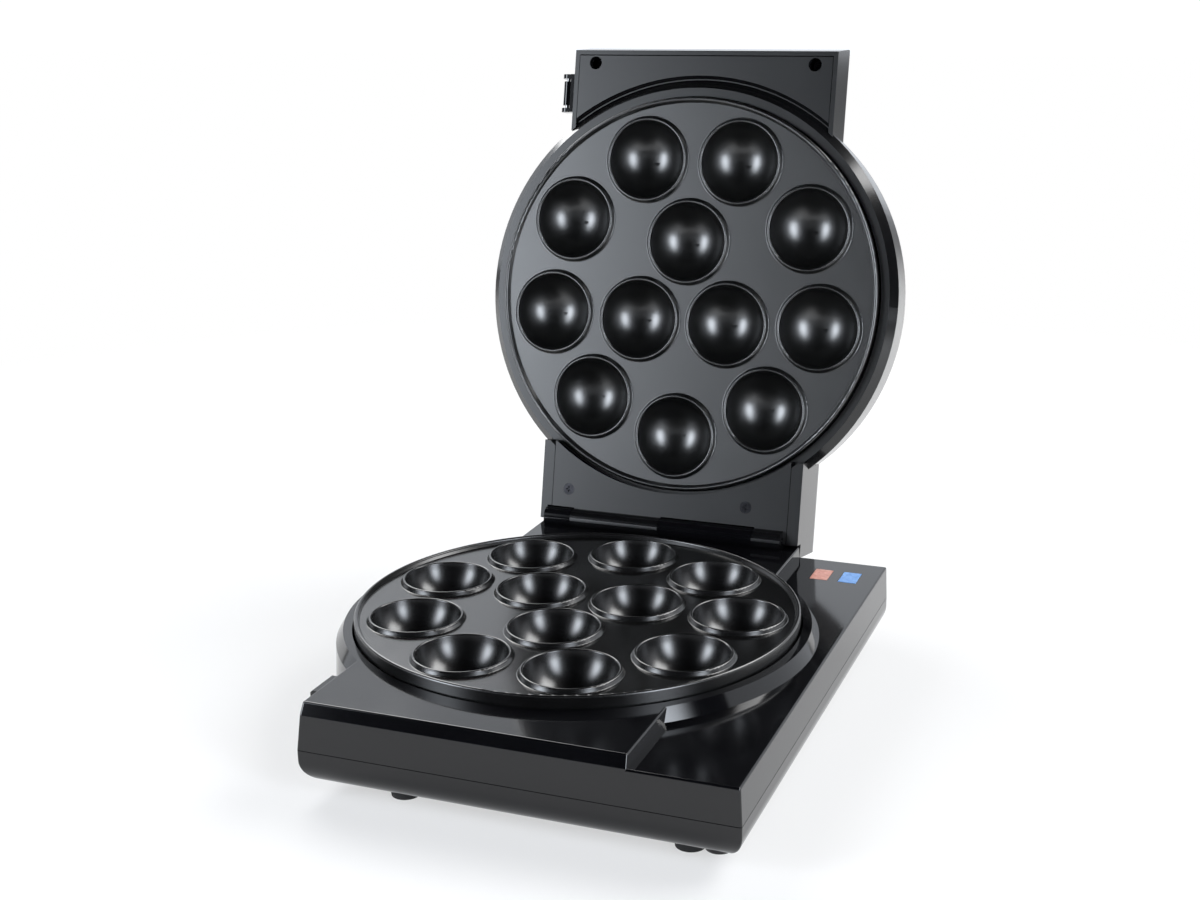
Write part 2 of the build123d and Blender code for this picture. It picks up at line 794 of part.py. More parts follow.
with BuildPart() as terminal_block:
    with Locations((block_x, block_y, tub_floor)):
        Box(block_width, block_length, block_height, align=base_aligned)
    with Locations((block_x, block_y, tub_floor + block_height)):
        with GridLocations(0, block_length / block_ways, 1, block_ways):
            Cylinder(block_screw_radius, block_screw_depth, align=top_aligned, mode=Mode.SUBTRACT)
    with Locations((block_x, block_y, tub_floor + block_height / 2)):
        with GridLocations(0, block_length / block_ways, 1, block_ways):
            Cylinder(block_way_radius, block_width, rotation=(0, 90, 0), mode=Mode.SUBTRACT)
terminal_block.part.label = "terminal_block"

# hollow gland clamped round the hole in the rear wall
with BuildPart() as cord_inlet_gland:
    with BuildSketch(Plane.XZ.offset(-base_back - gland_flange)):
        with Locations((gland_x, gland_level)):
            Circle(gland_flange_radius)
    extrude(amount=gland_flange)
    with BuildSketch(Plane.XZ.offset(-base_back)):
        with Locations((gland_x, gland_level)):
            Circle(gland_radius)
    extrude(amount=shell_wall)
    with BuildSketch(Plane.XZ.offset(shell_wall - base_back)):
        with Locations((gland_x, gland_level)):
            Circle(gland_flange_radius)
    extrude(amount=gland_flange)
    fillet(cord_inlet_gland.faces().sort_by(Axis.Y)[-1].edges(), gland_flange / 3)
    with BuildSketch(Plane.XZ.offset(-base_back - gland_flange)):
        with Locations((gland_x, gland_level)):
            Circle(gland_bore_radius)
    extrude(amount=2 * gland_flange + shell_wall, mode=Mode.SUBTRACT)
cord_inlet_gland.part.label = "cord_inlet_gland"


def lens():
    """A clear window with a flange behind it, its face at the origin."""
    with BuildPart() as window:
        Box(lens_width, lens_length, lens_proud + shell_wall, align=top_aligned)
        fillet(window.edges().group_by(Axis.Z)[-1], lens_proud)
        with Locations((0, 0, -lens_proud - shell_wall)):
            Box(lens_width + 2 * lens_flange, lens_length + 2 * lens_flange,
                lens_flange_thickness, align=top_aligned)
    return window.part


with BuildPart() as red_lens:
    with Locations((red_lens_x, lens_y, panel_level + lens_proud)):
        add(lens())
red_lens.part.label = "red_lens"

with BuildPart() as blue_lens:
    with Locations((blue_lens_x, lens_y, panel_level + lens_proud)):
        add(lens())
blue_lens.part.label = "blue_lens"

# tray under the panel that keeps each lamp behind its own lens
with BuildPart() as lamp_holder:
    pocket_width = lens_width + 2 * lens_flange + 2 * lens_play
    pocket_length = lens_length + 2 * lens_flange + 2 * lens_play
    with BuildSketch(Plane.XY.offset(panel_level - shell_wall)):
        with Locations(((red_lens_x + blue_lens_x) / 2, lens_y)):
            Rectangle(blue_lens_x - red_lens_x + pocket_width + 2 * holder_wall,
                      pocket_length + 2 * holder_wall)
    extrude(amount=-holder_depth)
    with BuildSketch(Plane.XY.offset(panel_level - shell_wall)):
        with Locations(*lens_places):
            Rectangle(pocket_width, pocket_length)
    extrude(amount=-(holder_depth - holder_wall), mode=Mode.SUBTRACT)
lamp_holder.part.label = "lamp_holder"

with BuildPart() as neon_lamps:
    lamp_level = panel_level - shell_wall - holder_depth + holder_wall + lamp_radius
    with Locations(*[(x, y, lamp_level) for x, y in lens_places]):
        Cylinder(lamp_radius, lamp_length - lamp_radius, rotation=(90, 0, 0))
    with Locations(*[(x, y + (lamp_length - lamp_radius) / 2, lamp_level) for x, y in lens_places]):
        Sphere(lamp_radius)
neon_lamps.part.label = "neon_lamps"

with BuildPart() as hinge_pin:
    add(barrel((hinge_steps[0] + pin_inset, hinge_steps[-1] - pin_inset), pin_radius))
hinge_pin.part.label = "hinge_pin"


# ================================================================ lid, drawn shut
def lid_form(inset):
    """The lid from outside, or the room inside its walls."""
    rounding = lid_rounding - inset
    top = lid_top - inset
    front_low = lid_front + inset - lid_front_lean * inset
    front_high = lid_front + inset - lid_front_lean * (top - handle_face)
    with BuildPart() as form:
        with BuildSketch(Plane.YZ.offset(inset - lid_half_width)):
            with BuildLine():
                Polyline(
                    (front_high, top),
                    (front_low, handle_face + inset),
                    (back_block_front + inset, handle_face + inset),
                    (back_block_front + inset, back_face + inset),
                    (back_cut_y - inset, back_face + inset),
                    (back_cut_y - inset, back_cut_z + inset),
                    (lid_back - inset, back_cut_z + inset),
                    (lid_back - inset, top),
                    close=True,
                )
            make_face()
        extrude(amount=2 * (lid_half_width - inset))
        fillet(form.edges().group_by(Axis.Z)[-1], rounding)
        with BuildSketch(Plane.XZ):
            with BuildLine():
                wall = Line((lid_drum_radius - inset, drum_edge + inset),
                            (lid_drum_top_radius - inset, top - rounding))
                corner = RadiusArc(wall @ 1, (lid_drum_top_radius - inset - rounding, top), -rounding)
                Polyline(corner @ 1, (0, top), (0, drum_edge + inset), wall @ 0)
            make_face()
        revolve(axis=Axis.Z)
    return form.part


with BuildPart() as lid_outer_shell:
    add(lid_form(0))
    add(lid_form(lid_wall), mode=Mode.SUBTRACT)
    # opening that the inner cover fills: a ring, the handle's face and the face by the hinge
    with BuildSketch(Plane.XZ):
        with BuildLine():
            Polyline(
                (0, back_face),
                (back_opening_radius + cover_thickness + cover_gap, back_face),
                (back_opening_radius + cover_thickness + cover_gap, lid_ring_level - cover_gap),
                (lid_ring_radius + cover_gap, lid_ring_level - cover_gap),
                (lid_ring_radius + cover_gap + drum_edge - lid_ring_level, drum_edge),
                (cover_collar_radius + cover_gap, drum_edge),
                (cover_collar_radius + cover_gap, drum_edge + lid_wall),
                (0, drum_edge + lid_wall),
                close=True,
            )
        make_face()
    revolve(axis=Axis.Z, mode=Mode.SUBTRACT)
    with BuildSketch(Plane.XY.offset(handle_face)):
        with Locations((0, lid_front + lid_wall)):
            Rectangle(2 * (lid_half_width - lid_wall), front_opening_length,
                      align=(Align.CENTER, Align.MIN))
    extrude(amount=lid_wall + cover_gap, mode=Mode.SUBTRACT)
    with BuildSketch(Plane.XY.offset(back_face)):
        with Locations((0, back_cut_y + cover_gap)):
            Rectangle(2 * (lid_half_width - back_border), back_cut_y + cover_gap - back_block_front,
                      align=(Align.CENTER, Align.MAX))
    extrude(amount=back_cut_z - back_face + lid_wall, mode=Mode.SUBTRACT)
    # bosses down to the cover's screws
    with BuildSketch(Plane.XY.offset(front_well_top)):
        with Locations(*front_screw_places):
            Circle(boss_tube_radius)
    extrude(amount=lid_top - lid_wall / 2 - front_well_top)
    with BuildSketch(Plane.XY.offset(back_face + cover_thickness)):
        with Locations(*rear_screw_places):
            Circle(boss_tube_radius)
    extrude(amount=lid_top - lid_wall / 2 - back_face - cover_thickness)
    with BuildSketch(Plane.XY.offset(front_well_top)):
        with Locations(*front_screw_places):
            Circle(lid_screw_radius + thread_play)
    extrude(amount=lid_screw_length, mode=Mode.SUBTRACT)
    with BuildSketch(Plane.XY.offset(back_face + cover_thickness)):
        with Locations(*rear_screw_places):
            Circle(lid_screw_radius + thread_play)
    extrude(amount=lid_screw_length, mode=Mode.SUBTRACT)
    for span in base_knuckles:
        add(trough(span), mode=Mode.SUBTRACT)
lid_outer_shell.part.label = "lid_outer_shell"

with BuildPart() as lid_inner_cover:
    # ring, bevel, collar, well wall and the flange that carries the upper plate
    with BuildSketch(Plane.XZ):
        with BuildLine():
            Polyline(
                (ring_opening_radius, lid_ring_level),
                (lid_ring_radius, lid_ring_level),
                (lid_ring_radius + drum_edge - cover_gap - lid_ring_level, drum_edge - cover_gap),
                (cover_collar_radius, drum_edge - cover_gap),
                (cover_collar_radius, drum_edge + lid_wall),
                (ring_opening_radius + well_wall, drum_edge + lid_wall),
                (ring_opening_radius + well_wall, -flange_back),
                (flange_inner_radius, -flange_back),
                (flange_inner_radius, -flange_level),
                (ring_opening_radius, -flange_level),
                close=True,
            )
        make_face()
    revolve(axis=Axis.Z)
    # face of the handle
    with BuildSketch(Plane.XY.offset(handle_face)):
        with Locations((0, lid_front + lid_wall + front_cover_gap)):
            Rectangle(2 * (lid_half_width - lid_wall - cover_gap), front_cover_length,
                      align=(Align.CENTER, Align.MIN))
        Circle(cover_collar_radius, mode=Mode.SUBTRACT)
    extrude(amount=cover_thickness)
    with BuildSketch(Plane.XY.offset(handle_face)):
        with Locations((0, lid_front + lid_wall + front_cover_gap)):
            Rectangle(2 * (lid_half_width - lid_wall - cover_gap), front_cover_length,
                      align=(Align.CENTER, Align.MIN))
        Circle(groove_backing_radius, mode=Mode.INTERSECT)
        Circle(ring_opening_radius + well_wall / 2, mode=Mode.SUBTRACT)
    extrude(amount=cover_thickness + groove_depth)
    with BuildSketch(Plane.XZ):
        with BuildLine():
            Polyline(
                (lid_ring_radius, lid_ring_level),
                (lid_ring_radius + groove_level - lid_ring_level, groove_level),
                (groove_radius, groove_level),
                (groove_radius, handle_face + groove_rounding),
                (groove_radius + groove_rounding, handle_face),
                (groove_radius + groove_rounding, lid_ring_level),
                close=True,
            )
        make_face()
    revolve(axis=Axis.Z, mode=Mode.SUBTRACT)
    # face by the hinge, its curved wall up to the ring, and the hinge bar
    with BuildSketch(Plane.XY.offset(back_face)):
        with Locations((0, back_cut_y)):
            Rectangle(back_cover_width, back_cut_y - back_block_front,
                      align=(Align.CENTER, Align.MAX))
        Circle(back_opening_radius, mode=Mode.SUBTRACT)
    extrude(amount=cover_thickness)
    with BuildSketch(Plane.XY.offset(back_face)):
        with Locations((0, back_cut_y)):
            Rectangle(back_cover_width, back_cut_y - back_block_front,
                      align=(Align.CENTER, Align.MAX))
        Circle(back_opening_radius + cover_thickness, mode=Mode.INTERSECT)
        Circle(back_opening_radius, mode=Mode.SUBTRACT)
    extrude(amount=lid_ring_level + cover_thickness - back_face)
    with BuildSketch(Plane.XY.offset(back_face)):
        with Locations((0, back_cut_y)):
            Rectangle(back_cover_width, lid_bar_width, align=(Align.CENTER, Align.MAX))
    extrude(amount=lid_bar_height)
    for span in base_knuckles:
        add(trough(span), mode=Mode.SUBTRACT)
    for span in lid_knuckles:
        add(knuckle(span))
    add(pin_hole(), mode=Mode.SUBTRACT)
    # deep wells for the front screws, countersinks for the rear ones, holes for the plate's
    with BuildSketch(Plane.XY.offset(handle_face)):
        with Locations(*front_screw_places):
            Circle(boss_tube_radius)
    extrude(amount=front_well_top - handle_face)
    with BuildSketch(Plane.XY.offset(handle_face)):
        with Locations(*front_screw_places):
            Circle(front_well_radius)
    extrude(amount=front_seat - handle_face, mode=Mode.SUBTRACT)
    with BuildSketch(Plane.XY.offset(front_seat)):
        with Locations(*front_screw_places):
            Circle(lid_screw_radius + hole_play)
    extrude(amount=front_well_top - front_seat, mode=Mode.SUBTRACT)
    with Locations(*[(x, y, back_face) for x, y in rear_screw_places]):
        Cone(lid_screw_head + thread_play, lid_screw_radius + thread_play, lid_screw_sink,
             align=base_aligned, mode=Mode.SUBTRACT)
        Cylinder(lid_screw_radius + thread_play, cover_thickness, align=base_aligned,
                 mode=Mode.SUBTRACT)
    with BuildSketch(Plane.XY.offset(-flange_level)):
        with Locations(*post_places(0)):
            Circle(plate_screw_radius + hole_play)
    extrude(amount=flange_thickness, mode=Mode.SUBTRACT)
lid_inner_cover.part.label = "lid_inner_cover"

with BuildPart() as upper_cooking_plate:
    add(mirror(plate_casting(), about=Plane.XY))
upper_cooking_plate.part.label = "upper_cooking_plate"

with BuildPart() as upper_heating_element:
    add(mirror(element_tube(), about=Plane.XY))
upper_heating_element.part.label = "upper_heating_element"

with BuildPart() as upper_heat_shield:
    add(mirror(shield_pan(), about=Plane.XY))
upper_heat_shield.part.label = "upper_heat_shield"

with BuildPart() as upper_plate_screws:
    add(mirror(plate_screws(), about=Plane.XY))
upper_plate_screws.part.label = "upper_plate_screws"

lid_front_screw = pan_head_screw(front_screw_head, screw_head_height, lid_screw_radius,
                                 lid_screw_length)
with BuildPart() as lid_front_screws:
    with Locations(*[(x, y, front_seat) for x, y in front_screw_places]):
        add(lid_front_screw)
lid_front_screws.part.label = "lid_front_screws"

with BuildPart() as lid_rear_screws:
    with Locations(*[(x, y, back_face) for x, y in rear_screw_places]):
        Cone(lid_screw_head, lid_screw_radius, lid_screw_sink, align=base_aligned)
        Cylinder(lid_screw_radius, lid_screw_length, align=base_aligned)
        for turn in (0, 90):
            Box(lid_screw_head, recess_width, lid_screw_sink / 2, rotation=(0, 0, turn),
                align=base_aligned, mode=Mode.SUBTRACT)
lid_rear_screws.part.label = "lid_rear_screws"

# ---------------------------------------------------------------- clasp on the handle's left side
with BuildPart() as clasp_bracket:
    with BuildSketch(Plane.YZ.offset(-lid_half_width - bracket_thickness)):
        with Locations((clasp_y, handle_face + bracket_foot)):
            Rectangle(bracket_length, bracket_height, align=(Align.CENTER, Align.MIN))
    extrude(amount=bracket_thickness)
    for side in (-1, 1):
        outer = clasp_y + side * (bracket_length - ear_width) / 2 + ear_width / 2
        with BuildSketch(Plane.XZ.offset(-outer)):
            with BuildLine():
                round_end = CenterArc((clasp_axis_x, clasp_axis_z), ear_radius, 90, 180)
                Polyline(
                    round_end @ 1,
                    (ear_root_x, clasp_axis_z - ear_radius),
                    (ear_root_x, clasp_axis_z + ear_radius),
                    round_end @ 0,
                )
            make_face()
        extrude(amount=ear_width)
    with BuildSketch(Plane.XZ.offset(-clasp_y - bracket_length / 2)):
        with Locations((clasp_axis_x, clasp_axis_z)):
            Circle(clasp_pin_radius + pin_play)
    extrude(amount=bracket_length, mode=Mode.SUBTRACT)
clasp_bracket.part.label = "clasp_bracket"

with BuildPart() as clasp:
    with BuildSketch(Plane.XZ.offset(-clasp_y - clasp_width / 2)):
        with Locations((clasp_axis_x, clasp_axis_z)):
            Circle(clasp_barrel_radius)
        with BuildLine():
            Polyline(
                (clasp_axis_x + clasp_thickness / 2, clasp_axis_z),
                (clasp_axis_x + clasp_thickness / 2, clasp_axis_z + clasp_reach),
                (clasp_axis_x - clasp_thickness / 2 - clasp_hook, clasp_axis_z + clasp_reach),
                (clasp_axis_x - clasp_thickness / 2 - clasp_hook,
                 clasp_axis_z + clasp_reach - clasp_hook_thickness),
                (clasp_axis_x - clasp_thickness / 2,
                 clasp_axis_z + clasp_reach - clasp_hook_thickness),
                (clasp_axis_x - clasp_thickness / 2, clasp_axis_z),
                close=True,
            )
        make_face()
        with Locations((clasp_axis_x, clasp_axis_z)):
            Circle(clasp_pin_radius + pin_play, mode=Mode.SUBTRACT)
    extrude(amount=clasp_width)
clasp.part.label = "clasp"

with BuildPart() as clasp_pin:
    with BuildSketch(Plane.XZ.offset(-clasp_y - bracket_length / 2)):
        with Locations((clasp_axis_x, clasp_axis_z)):
            Circle(clasp_pin_radius)
    extrude(amount=bracket_length)
clasp_pin.part.label = "clasp_pin"

# ================================================================ export
base_pieces = [
    base_upper_shell, base_lower_tub, housing_screws, rubber_feet, lower_cooking_plate,
    lower_heating_element, lower_heat_shield, lower_plate_screws, thermostat, thermal_fuse,
    terminal_block, cord_inlet_gland, red_lens, blue_lens, lamp_holder, neon_lamps, hinge_pin,
]
lid_pieces = [
    lid_outer_shell, lid_inner_cover, upper_cooking_plate, upper_heating_element,
    upper_heat_shield, upper_plate_screws, lid_front_screws, lid_rear_screws, clasp_bracket,
    clasp, clasp_pin,
]
hinge_axis = Axis((0, hinge_y, hinge_z), (1, 0, 0))
for piece in lid_pieces:
    label = piece.part.label
    piece.part = piece.part.rotate(hinge_axis, -lid_open_angle)
    piece.part.label = label

# the assembly stands on Z = 0 with the centre of its bounding box over the origin
copies = [copy(piece.part) for piece in base_pieces + lid_pieces]
whole = Compound(children=copies).bounding_box()
shift = Pos(-whole.center().X, -whole.center().Y, -whole.min.Z)
print("lid hinge at", shift.position + Vector(0, hinge_y, hinge_z))
os.makedirs("parts", exist_ok=True)
for piece in base_pieces + lid_pieces:
    placed = shift * piece.part
    placed.label = piece.part.label
    export_step(placed, f"parts/{piece.part.label}.step")
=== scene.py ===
"""Studio scene of a countertop cake pop maker with its lid open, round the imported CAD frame."""
import math
import bpy
from mathutils import Matrix, Vector

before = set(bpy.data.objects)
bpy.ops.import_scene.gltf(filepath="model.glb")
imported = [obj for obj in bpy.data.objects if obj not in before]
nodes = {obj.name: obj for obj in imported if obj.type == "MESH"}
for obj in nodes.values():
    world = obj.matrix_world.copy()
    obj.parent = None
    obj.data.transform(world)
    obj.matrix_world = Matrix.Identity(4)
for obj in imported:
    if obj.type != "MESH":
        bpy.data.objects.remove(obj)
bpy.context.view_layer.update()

# ------------------------------------------------------------------ camera
# A 50 mm lens over a 36 mm sensor looks down on the open appliance from its front right, as at a
# worktop, from about 0.85 m away. It is rolled by less than one degree.
camera_place = (0.28195, -0.73366, 0.33920)
camera_data = bpy.data.cameras.new("camera")
camera_data.sensor_width = 36.0
camera_data.lens = 50.47
camera_data.clip_start = 0.01
azimuth = math.radians(21.61)
elevation = math.radians(15.96)
roll = math.radians(-0.765)
back = Vector((math.sin(azimuth) * math.cos(elevation),
               -math.cos(azimuth) * math.cos(elevation),
               math.sin(elevation)))
level_right = Vector((math.cos(azimuth), math.sin(azimuth), 0.0))
level_up = back.cross(level_right)
right = level_right * math.cos(roll) + level_up * math.sin(roll)
up = back.cross(right)
camera = bpy.data.objects.new("camera", camera_data)
camera.matrix_world = (Matrix.Translation(camera_place)
                       @ Matrix((right, up, back)).transposed().to_4x4())
bpy.context.scene.collection.objects.link(camera)
bpy.context.scene.camera = camera
bpy.context.scene.view_settings.view_transform = "Standard"


# ------------------------------------------------------------------ studio
# Pale seamless floor under a surround that is white low down and grey towards the ceiling. Dark
# flags stand in front, above and at the sides, so that gloss black shows the two tall softboxes
# and the white behind it.
def add_node(tree, kind, settings=(), links=()):
    """Adds a shader node, sets its properties or inputs by name and links inputs to sockets."""
    node = tree.nodes.new(kind)
    for name, value in dict(settings).items():
        if isinstance(name, str) and hasattr(node, name):
            setattr(node, name, value)
        else:
            node.inputs[name].default_value = value
    for name, socket in dict(links).items():
        tree.links.new(socket, node.inputs[name])
    return node


def linear(hex_colour):
    """An sRGB hex colour as linear RGBA."""
    values = [int(hex_colour[place:place + 2], 16) / 255 for place in (1, 3, 5)]
    return [v / 12.92 if v <= 0.04045 else ((v + 0.055) / 1.055) ** 2.4 for v in values] + [1.0]


def new_material(name):
    """An empty node material and its output node."""
    material = bpy.data.materials.new(name)
    material.use_nodes = True
    material.node_tree.nodes.clear()
    output = add_node(material.node_tree, "ShaderNodeOutputMaterial")
    return material, material.node_tree, output


def seen_directly(tree):
    """1 for camera, glossy and transmission rays, 0 for the diffuse ones that light the object."""
    path = add_node(tree, "ShaderNodeLightPath")
    shiny = add_node(tree, "ShaderNodeMath", {"operation": "MAXIMUM"})
    tree.links.new(path.outputs["Is Glossy Ray"], shiny.inputs[0])
    tree.links.new(path.outputs["Is Transmission Ray"], shiny.inputs[1])
    seen = add_node(tree, "ShaderNodeMath", {"operation": "MAXIMUM"})
    tree.links.new(path.outputs["Is Camera Ray"], seen.inputs[0])
    tree.links.new(shiny.outputs[0], seen.inputs[1])
    return seen.outputs[0]


def card(name, width, height, centre, facing):
    """A flat stage card that faces a point."""
    mesh = bpy.data.meshes.new(name)
    x, y = width / 2, height / 2
    mesh.from_pydata([(-x, -y, 0), (x, -y, 0), (x, y, 0), (-x, y, 0)], [], [(0, 1, 2, 3)])
    obj = bpy.data.objects.new(name, mesh)
    direction = Vector(facing) - Vector(centre)
    obj.rotation_mode = "QUATERNION"
    obj.rotation_quaternion = direction.to_track_quat("Z", "Y")
    obj.location = centre
    bpy.context.scene.collection.objects.link(obj)
    return obj


white_strength = 1.15
room_strength = 0.2          # the ceiling, and the light that the room gives the object
white_height = 0.42          # sines of the heights between which the surround turns grey
grey_height = 0.65
world = bpy.data.worlds.new("studio")
bpy.context.scene.world = world
world.use_nodes = True
tree = world.node_tree
tree.nodes.clear()
towards = add_node(tree, "ShaderNodeTexCoord")
height = add_node(tree, "ShaderNodeSeparateXYZ", links={"Vector": towards.outputs["Generated"]})
whiteness = add_node(tree, "ShaderNodeMapRange",
                     {"From Min": white_height, "From Max": grey_height,
                      "To Min": white_strength, "To Max": room_strength},
                     {"Value": height.outputs["Z"]})
surround = add_node(tree, "ShaderNodeMapRange", {"To Min": room_strength},
                    {"Value": seen_directly(tree), "To Max": whiteness.outputs[0]})
cool_white = add_node(tree, "ShaderNodeBackground", {"Color": (0.9, 0.94, 1.0, 1)},
                      {"Strength": surround.outputs[0]})
add_node(tree, "ShaderNodeOutputWorld", links={"Surface": cool_white.outputs[0]})

floor_side = 12.0
floor = card("floor", floor_side, floor_side, (0, 0, 0), (0, 0, 1))
floor_paper, tree, output = new_material("white_paper_with_painted_glow")
lit = add_node(tree, "ShaderNodeBsdfDiffuse", {"Color": linear("#e9e9e9")})
# The paper also glows by itself. This glow is painted light that no lamp gives, and the shares
# below set it.
glow = add_node(tree, "ShaderNodeEmission", {"Color": (1, 1, 1, 1), "Strength": 1.0})
place = add_node(tree, "ShaderNodeTexCoord")
away = add_node(tree, "ShaderNodeVectorMath", {"operation": "LENGTH"}, {0: place.outputs["Object"]})
# Both ranges run over the distance from the object in metres and set the share of painted glow in
# the paper, over its lit colour. Seen directly the paper is whiter further out. Mirrored in the
# gloss black its painted glow is brightest near the object and fades out towards the flags.
paleness = add_node(tree, "ShaderNodeMapRange",
                    {"From Min": 0.25, "From Max": 0.9, "To Min": 0.55, "To Max": 1.0},
                    {"Value": away.outputs["Value"]})
painted_glow_in_reflections = add_node(tree, "ShaderNodeMapRange",
                          {"From Min": 0.3, "From Max": 0.8, "To Min": 0.5, "To Max": 0.1},
                          {"Value": away.outputs["Value"]})
path = add_node(tree, "ShaderNodeLightPath")
chosen = add_node(tree, "ShaderNodeMix", {"data_type": "FLOAT"},
                  {"Factor": path.outputs["Is Camera Ray"], "A": painted_glow_in_reflections.outputs[0],
                   "B": paleness.outputs[0]})
share = add_node(tree, "ShaderNodeMath", {"operation": "MULTIPLY"},
                 {0: seen_directly(tree), 1: chosen.outputs[0]})
mix = add_node(tree, "ShaderNodeMixShader", links={0: share.outputs[0]})
tree.links.new(lit.outputs[0], mix.inputs[1])
tree.links.new(glow.outputs[0], mix.inputs[2])
tree.links.new(mix.outputs[0], output.inputs["Surface"])
floor.data.materials.append(floor_paper)

flag_cloth, tree, output = new_material("black_flag_cloth")
cloth = add_node(tree, "ShaderNodeBsdfDiffuse", {"Color": linear("#161616")})
tree.links.new(cloth.outputs[0], output.inputs["Surface"])
flags = [
    card("flag_front", 5.0, 2.6, (0.0, -2.4, 1.5), (0, 0, 0.9)),
    card("flag_left", 2.6, 2.6, (-2.4, -1.0, 1.5), (0, 0, 0.9)),
    card("flag_right", 2.6, 2.6, (2.4, -1.0, 1.5), (0, 0, 0.9)),
    card("flag_above", 4.5, 4.6, (0.0, -0.4, 2.3), (0, -0.4, 0)),
]
floor_flag = card("flag_on_floor", 3.6, 1.9, (0.0, -1.45, 0.002), (0.0, -1.45, 1.0))
floor_flag.visible_shadow = False
for flag in flags + [floor_flag]:
    flag.data.materials.append(flag_cloth)
    flag.visible_camera = False


def area_lamp(name, width, height, centre, aim, power):
    """A rectangular area lamp."""
    lamp = bpy.data.lights.new(name, "AREA")
    lamp.shape = "RECTANGLE"
    lamp.size = width
    lamp.size_y = height
    lamp.energy = power
    obj = bpy.data.objects.new(name, lamp)
    obj.rotation_mode = "QUATERNION"
    obj.rotation_quaternion = (Vector(aim) - Vector(centre)).to_track_quat("-Z", "Y")
    obj.location = centre
    bpy.context.scene.collection.objects.link(obj)


def place_about(azimuth_degrees, height, distance):
    """A place round the appliance; azimuth 0 is in front of it and positive is to its right."""
    angle = math.radians(azimuth_degrees)
    return (distance * math.sin(angle), -distance * math.cos(angle), height)


aim_point = (0.0, 0.05, 0.12)
softbox_size = (0.72, 1.9)
softbox_distance = 1.2
softbox_strength = 15.0      # at its middle; it fades out towards its edges
diffuser, tree, output = new_material("softbox_diffuser")
place = add_node(tree, "ShaderNodeTexCoord")
centred = add_node(tree, "ShaderNodeVectorMath", {"operation": "SUBTRACT", 1: (0.5, 0.5, 0.0)},
                   {0: place.outputs["Generated"]})
flat = add_node(tree, "ShaderNodeVectorMath", {"operation": "MULTIPLY", 1: (2.0, 2.0, 0.0)},
                {0: centred.outputs[0]})
off_centre = add_node(tree, "ShaderNodeVectorMath", {"operation": "LENGTH"}, {0: flat.outputs[0]})
falloff = add_node(tree, "ShaderNodeMapRange",
                   {"interpolation_type": "SMOOTHERSTEP", "From Min": 0.1, "From Max": 1.0,
                    "To Min": softbox_strength, "To Max": 0.0},
                   {"Value": off_centre.outputs["Value"]})
light = add_node(tree, "ShaderNodeEmission", {"Color": (0.86, 0.92, 1.0, 1)},
                 {"Strength": falloff.outputs[0]})
tree.links.new(light.outputs[0], output.inputs["Surface"])
softboxes = [
    card("softbox_right", *softbox_size, place_about(60, 0.32, softbox_distance), aim_point),
    card("softbox_left", *softbox_size, place_about(-44, 0.34, softbox_distance), aim_point),
]
for softbox in softboxes:
    softbox.data.materials.append(diffuser)
    softbox.visible_camera = False
area_lamp("background_light", 1.2, 0.8, (0.95, 0.75, 1.1), (0.5, 0.45, 0.0), 26.0)
area_lamp("background_light_left", 1.0, 0.8, (-0.95, 0.75, 1.1), (-0.5, 0.35, 0.0), 18.0)


# ------------------------------------------------------------------ mouldings of base and lid
# Gloss black ABS for the outside of the base and the lid, with the faint waviness of its flow in
# the mould. The mould's faces round the upper plate have a fine satin grain, and the walls and
# bevels beside them are polished.
def surface(name, colours, roughness, grain, depth, metallic=0.0, patch=30.0, ior=1.5,
            facing=(0.0, 0.0, 1.0), level=-1000.0):
    """A finish: two colours and a roughness that vary in patches, and a fine grain.

    The first roughness is that of walls and hollows, the second that of the flat faces that look
    along facing and lie above level on it. grain, depth, patch and level are in millimetres.
    """
    rough_spread = 0.01
    material, tree, output = new_material(name)
    place = add_node(tree, "ShaderNodeTexCoord")
    patches = add_node(tree, "ShaderNodeTexNoise",
                       {"Scale": 1000 / patch, "Detail": 3.0},
                       {"Vector": place.outputs["Object"]})
    fine = add_node(tree, "ShaderNodeTexNoise", {"Scale": 1000 / grain, "Detail": 2.0},
                    {"Vector": place.outputs["Object"]})
    colour = add_node(tree, "ShaderNodeValToRGB", links={"Fac": patches.outputs[0]})
    colour.color_ramp.elements[0].position = 0.35
    colour.color_ramp.elements[1].position = 0.65
    colour.color_ramp.elements[0].color = linear(colours[0])
    colour.color_ramp.elements[1].color = linear(colours[1])
    along = add_node(tree, "ShaderNodeVectorMath", {"operation": "DOT_PRODUCT", 1: facing},
                     {0: place.outputs["Normal"]})
    out = add_node(tree, "ShaderNodeVectorMath", {"operation": "DOT_PRODUCT", 1: facing},
                   {0: place.outputs["Object"]})
    raised = add_node(tree, "ShaderNodeMath", {"operation": "GREATER_THAN", 1: level / 1000},
                      {0: out.outputs["Value"]})
    flat_face = add_node(tree, "ShaderNodeMapRange", {"From Min": 0.98, "From Max": 0.998},
                         {"Value": along.outputs["Value"], "To Max": raised.outputs[0]})
    even = add_node(tree, "ShaderNodeMapRange", {"To Min": roughness[0], "To Max": roughness[1]},
                    {"Value": flat_face.outputs[0]})
    uneven = add_node(tree, "ShaderNodeMapRange",
                      {"From Min": 0.3, "From Max": 0.7, "To Min": -rough_spread,
                       "To Max": rough_spread},
                      {"Value": patches.outputs[0]})
    gloss = add_node(tree, "ShaderNodeMath", {"operation": "ADD"},
                     {0: even.outputs[0], 1: uneven.outputs[0]})
    bump = add_node(tree, "ShaderNodeBump", {"Strength": 1.0, "Distance": depth / 1000},
                    {"Height": fine.outputs[0]})
    shader = add_node(tree, "ShaderNodeBsdfPrincipled", {"Metallic": metallic, "IOR": ior},
                      {"Base Color": colour.outputs[0], "Roughness": gloss.outputs[0],
                       "Normal": bump.outputs[0]})
    tree.links.new(shader.outputs[0], output.inputs["Surface"])
    return material


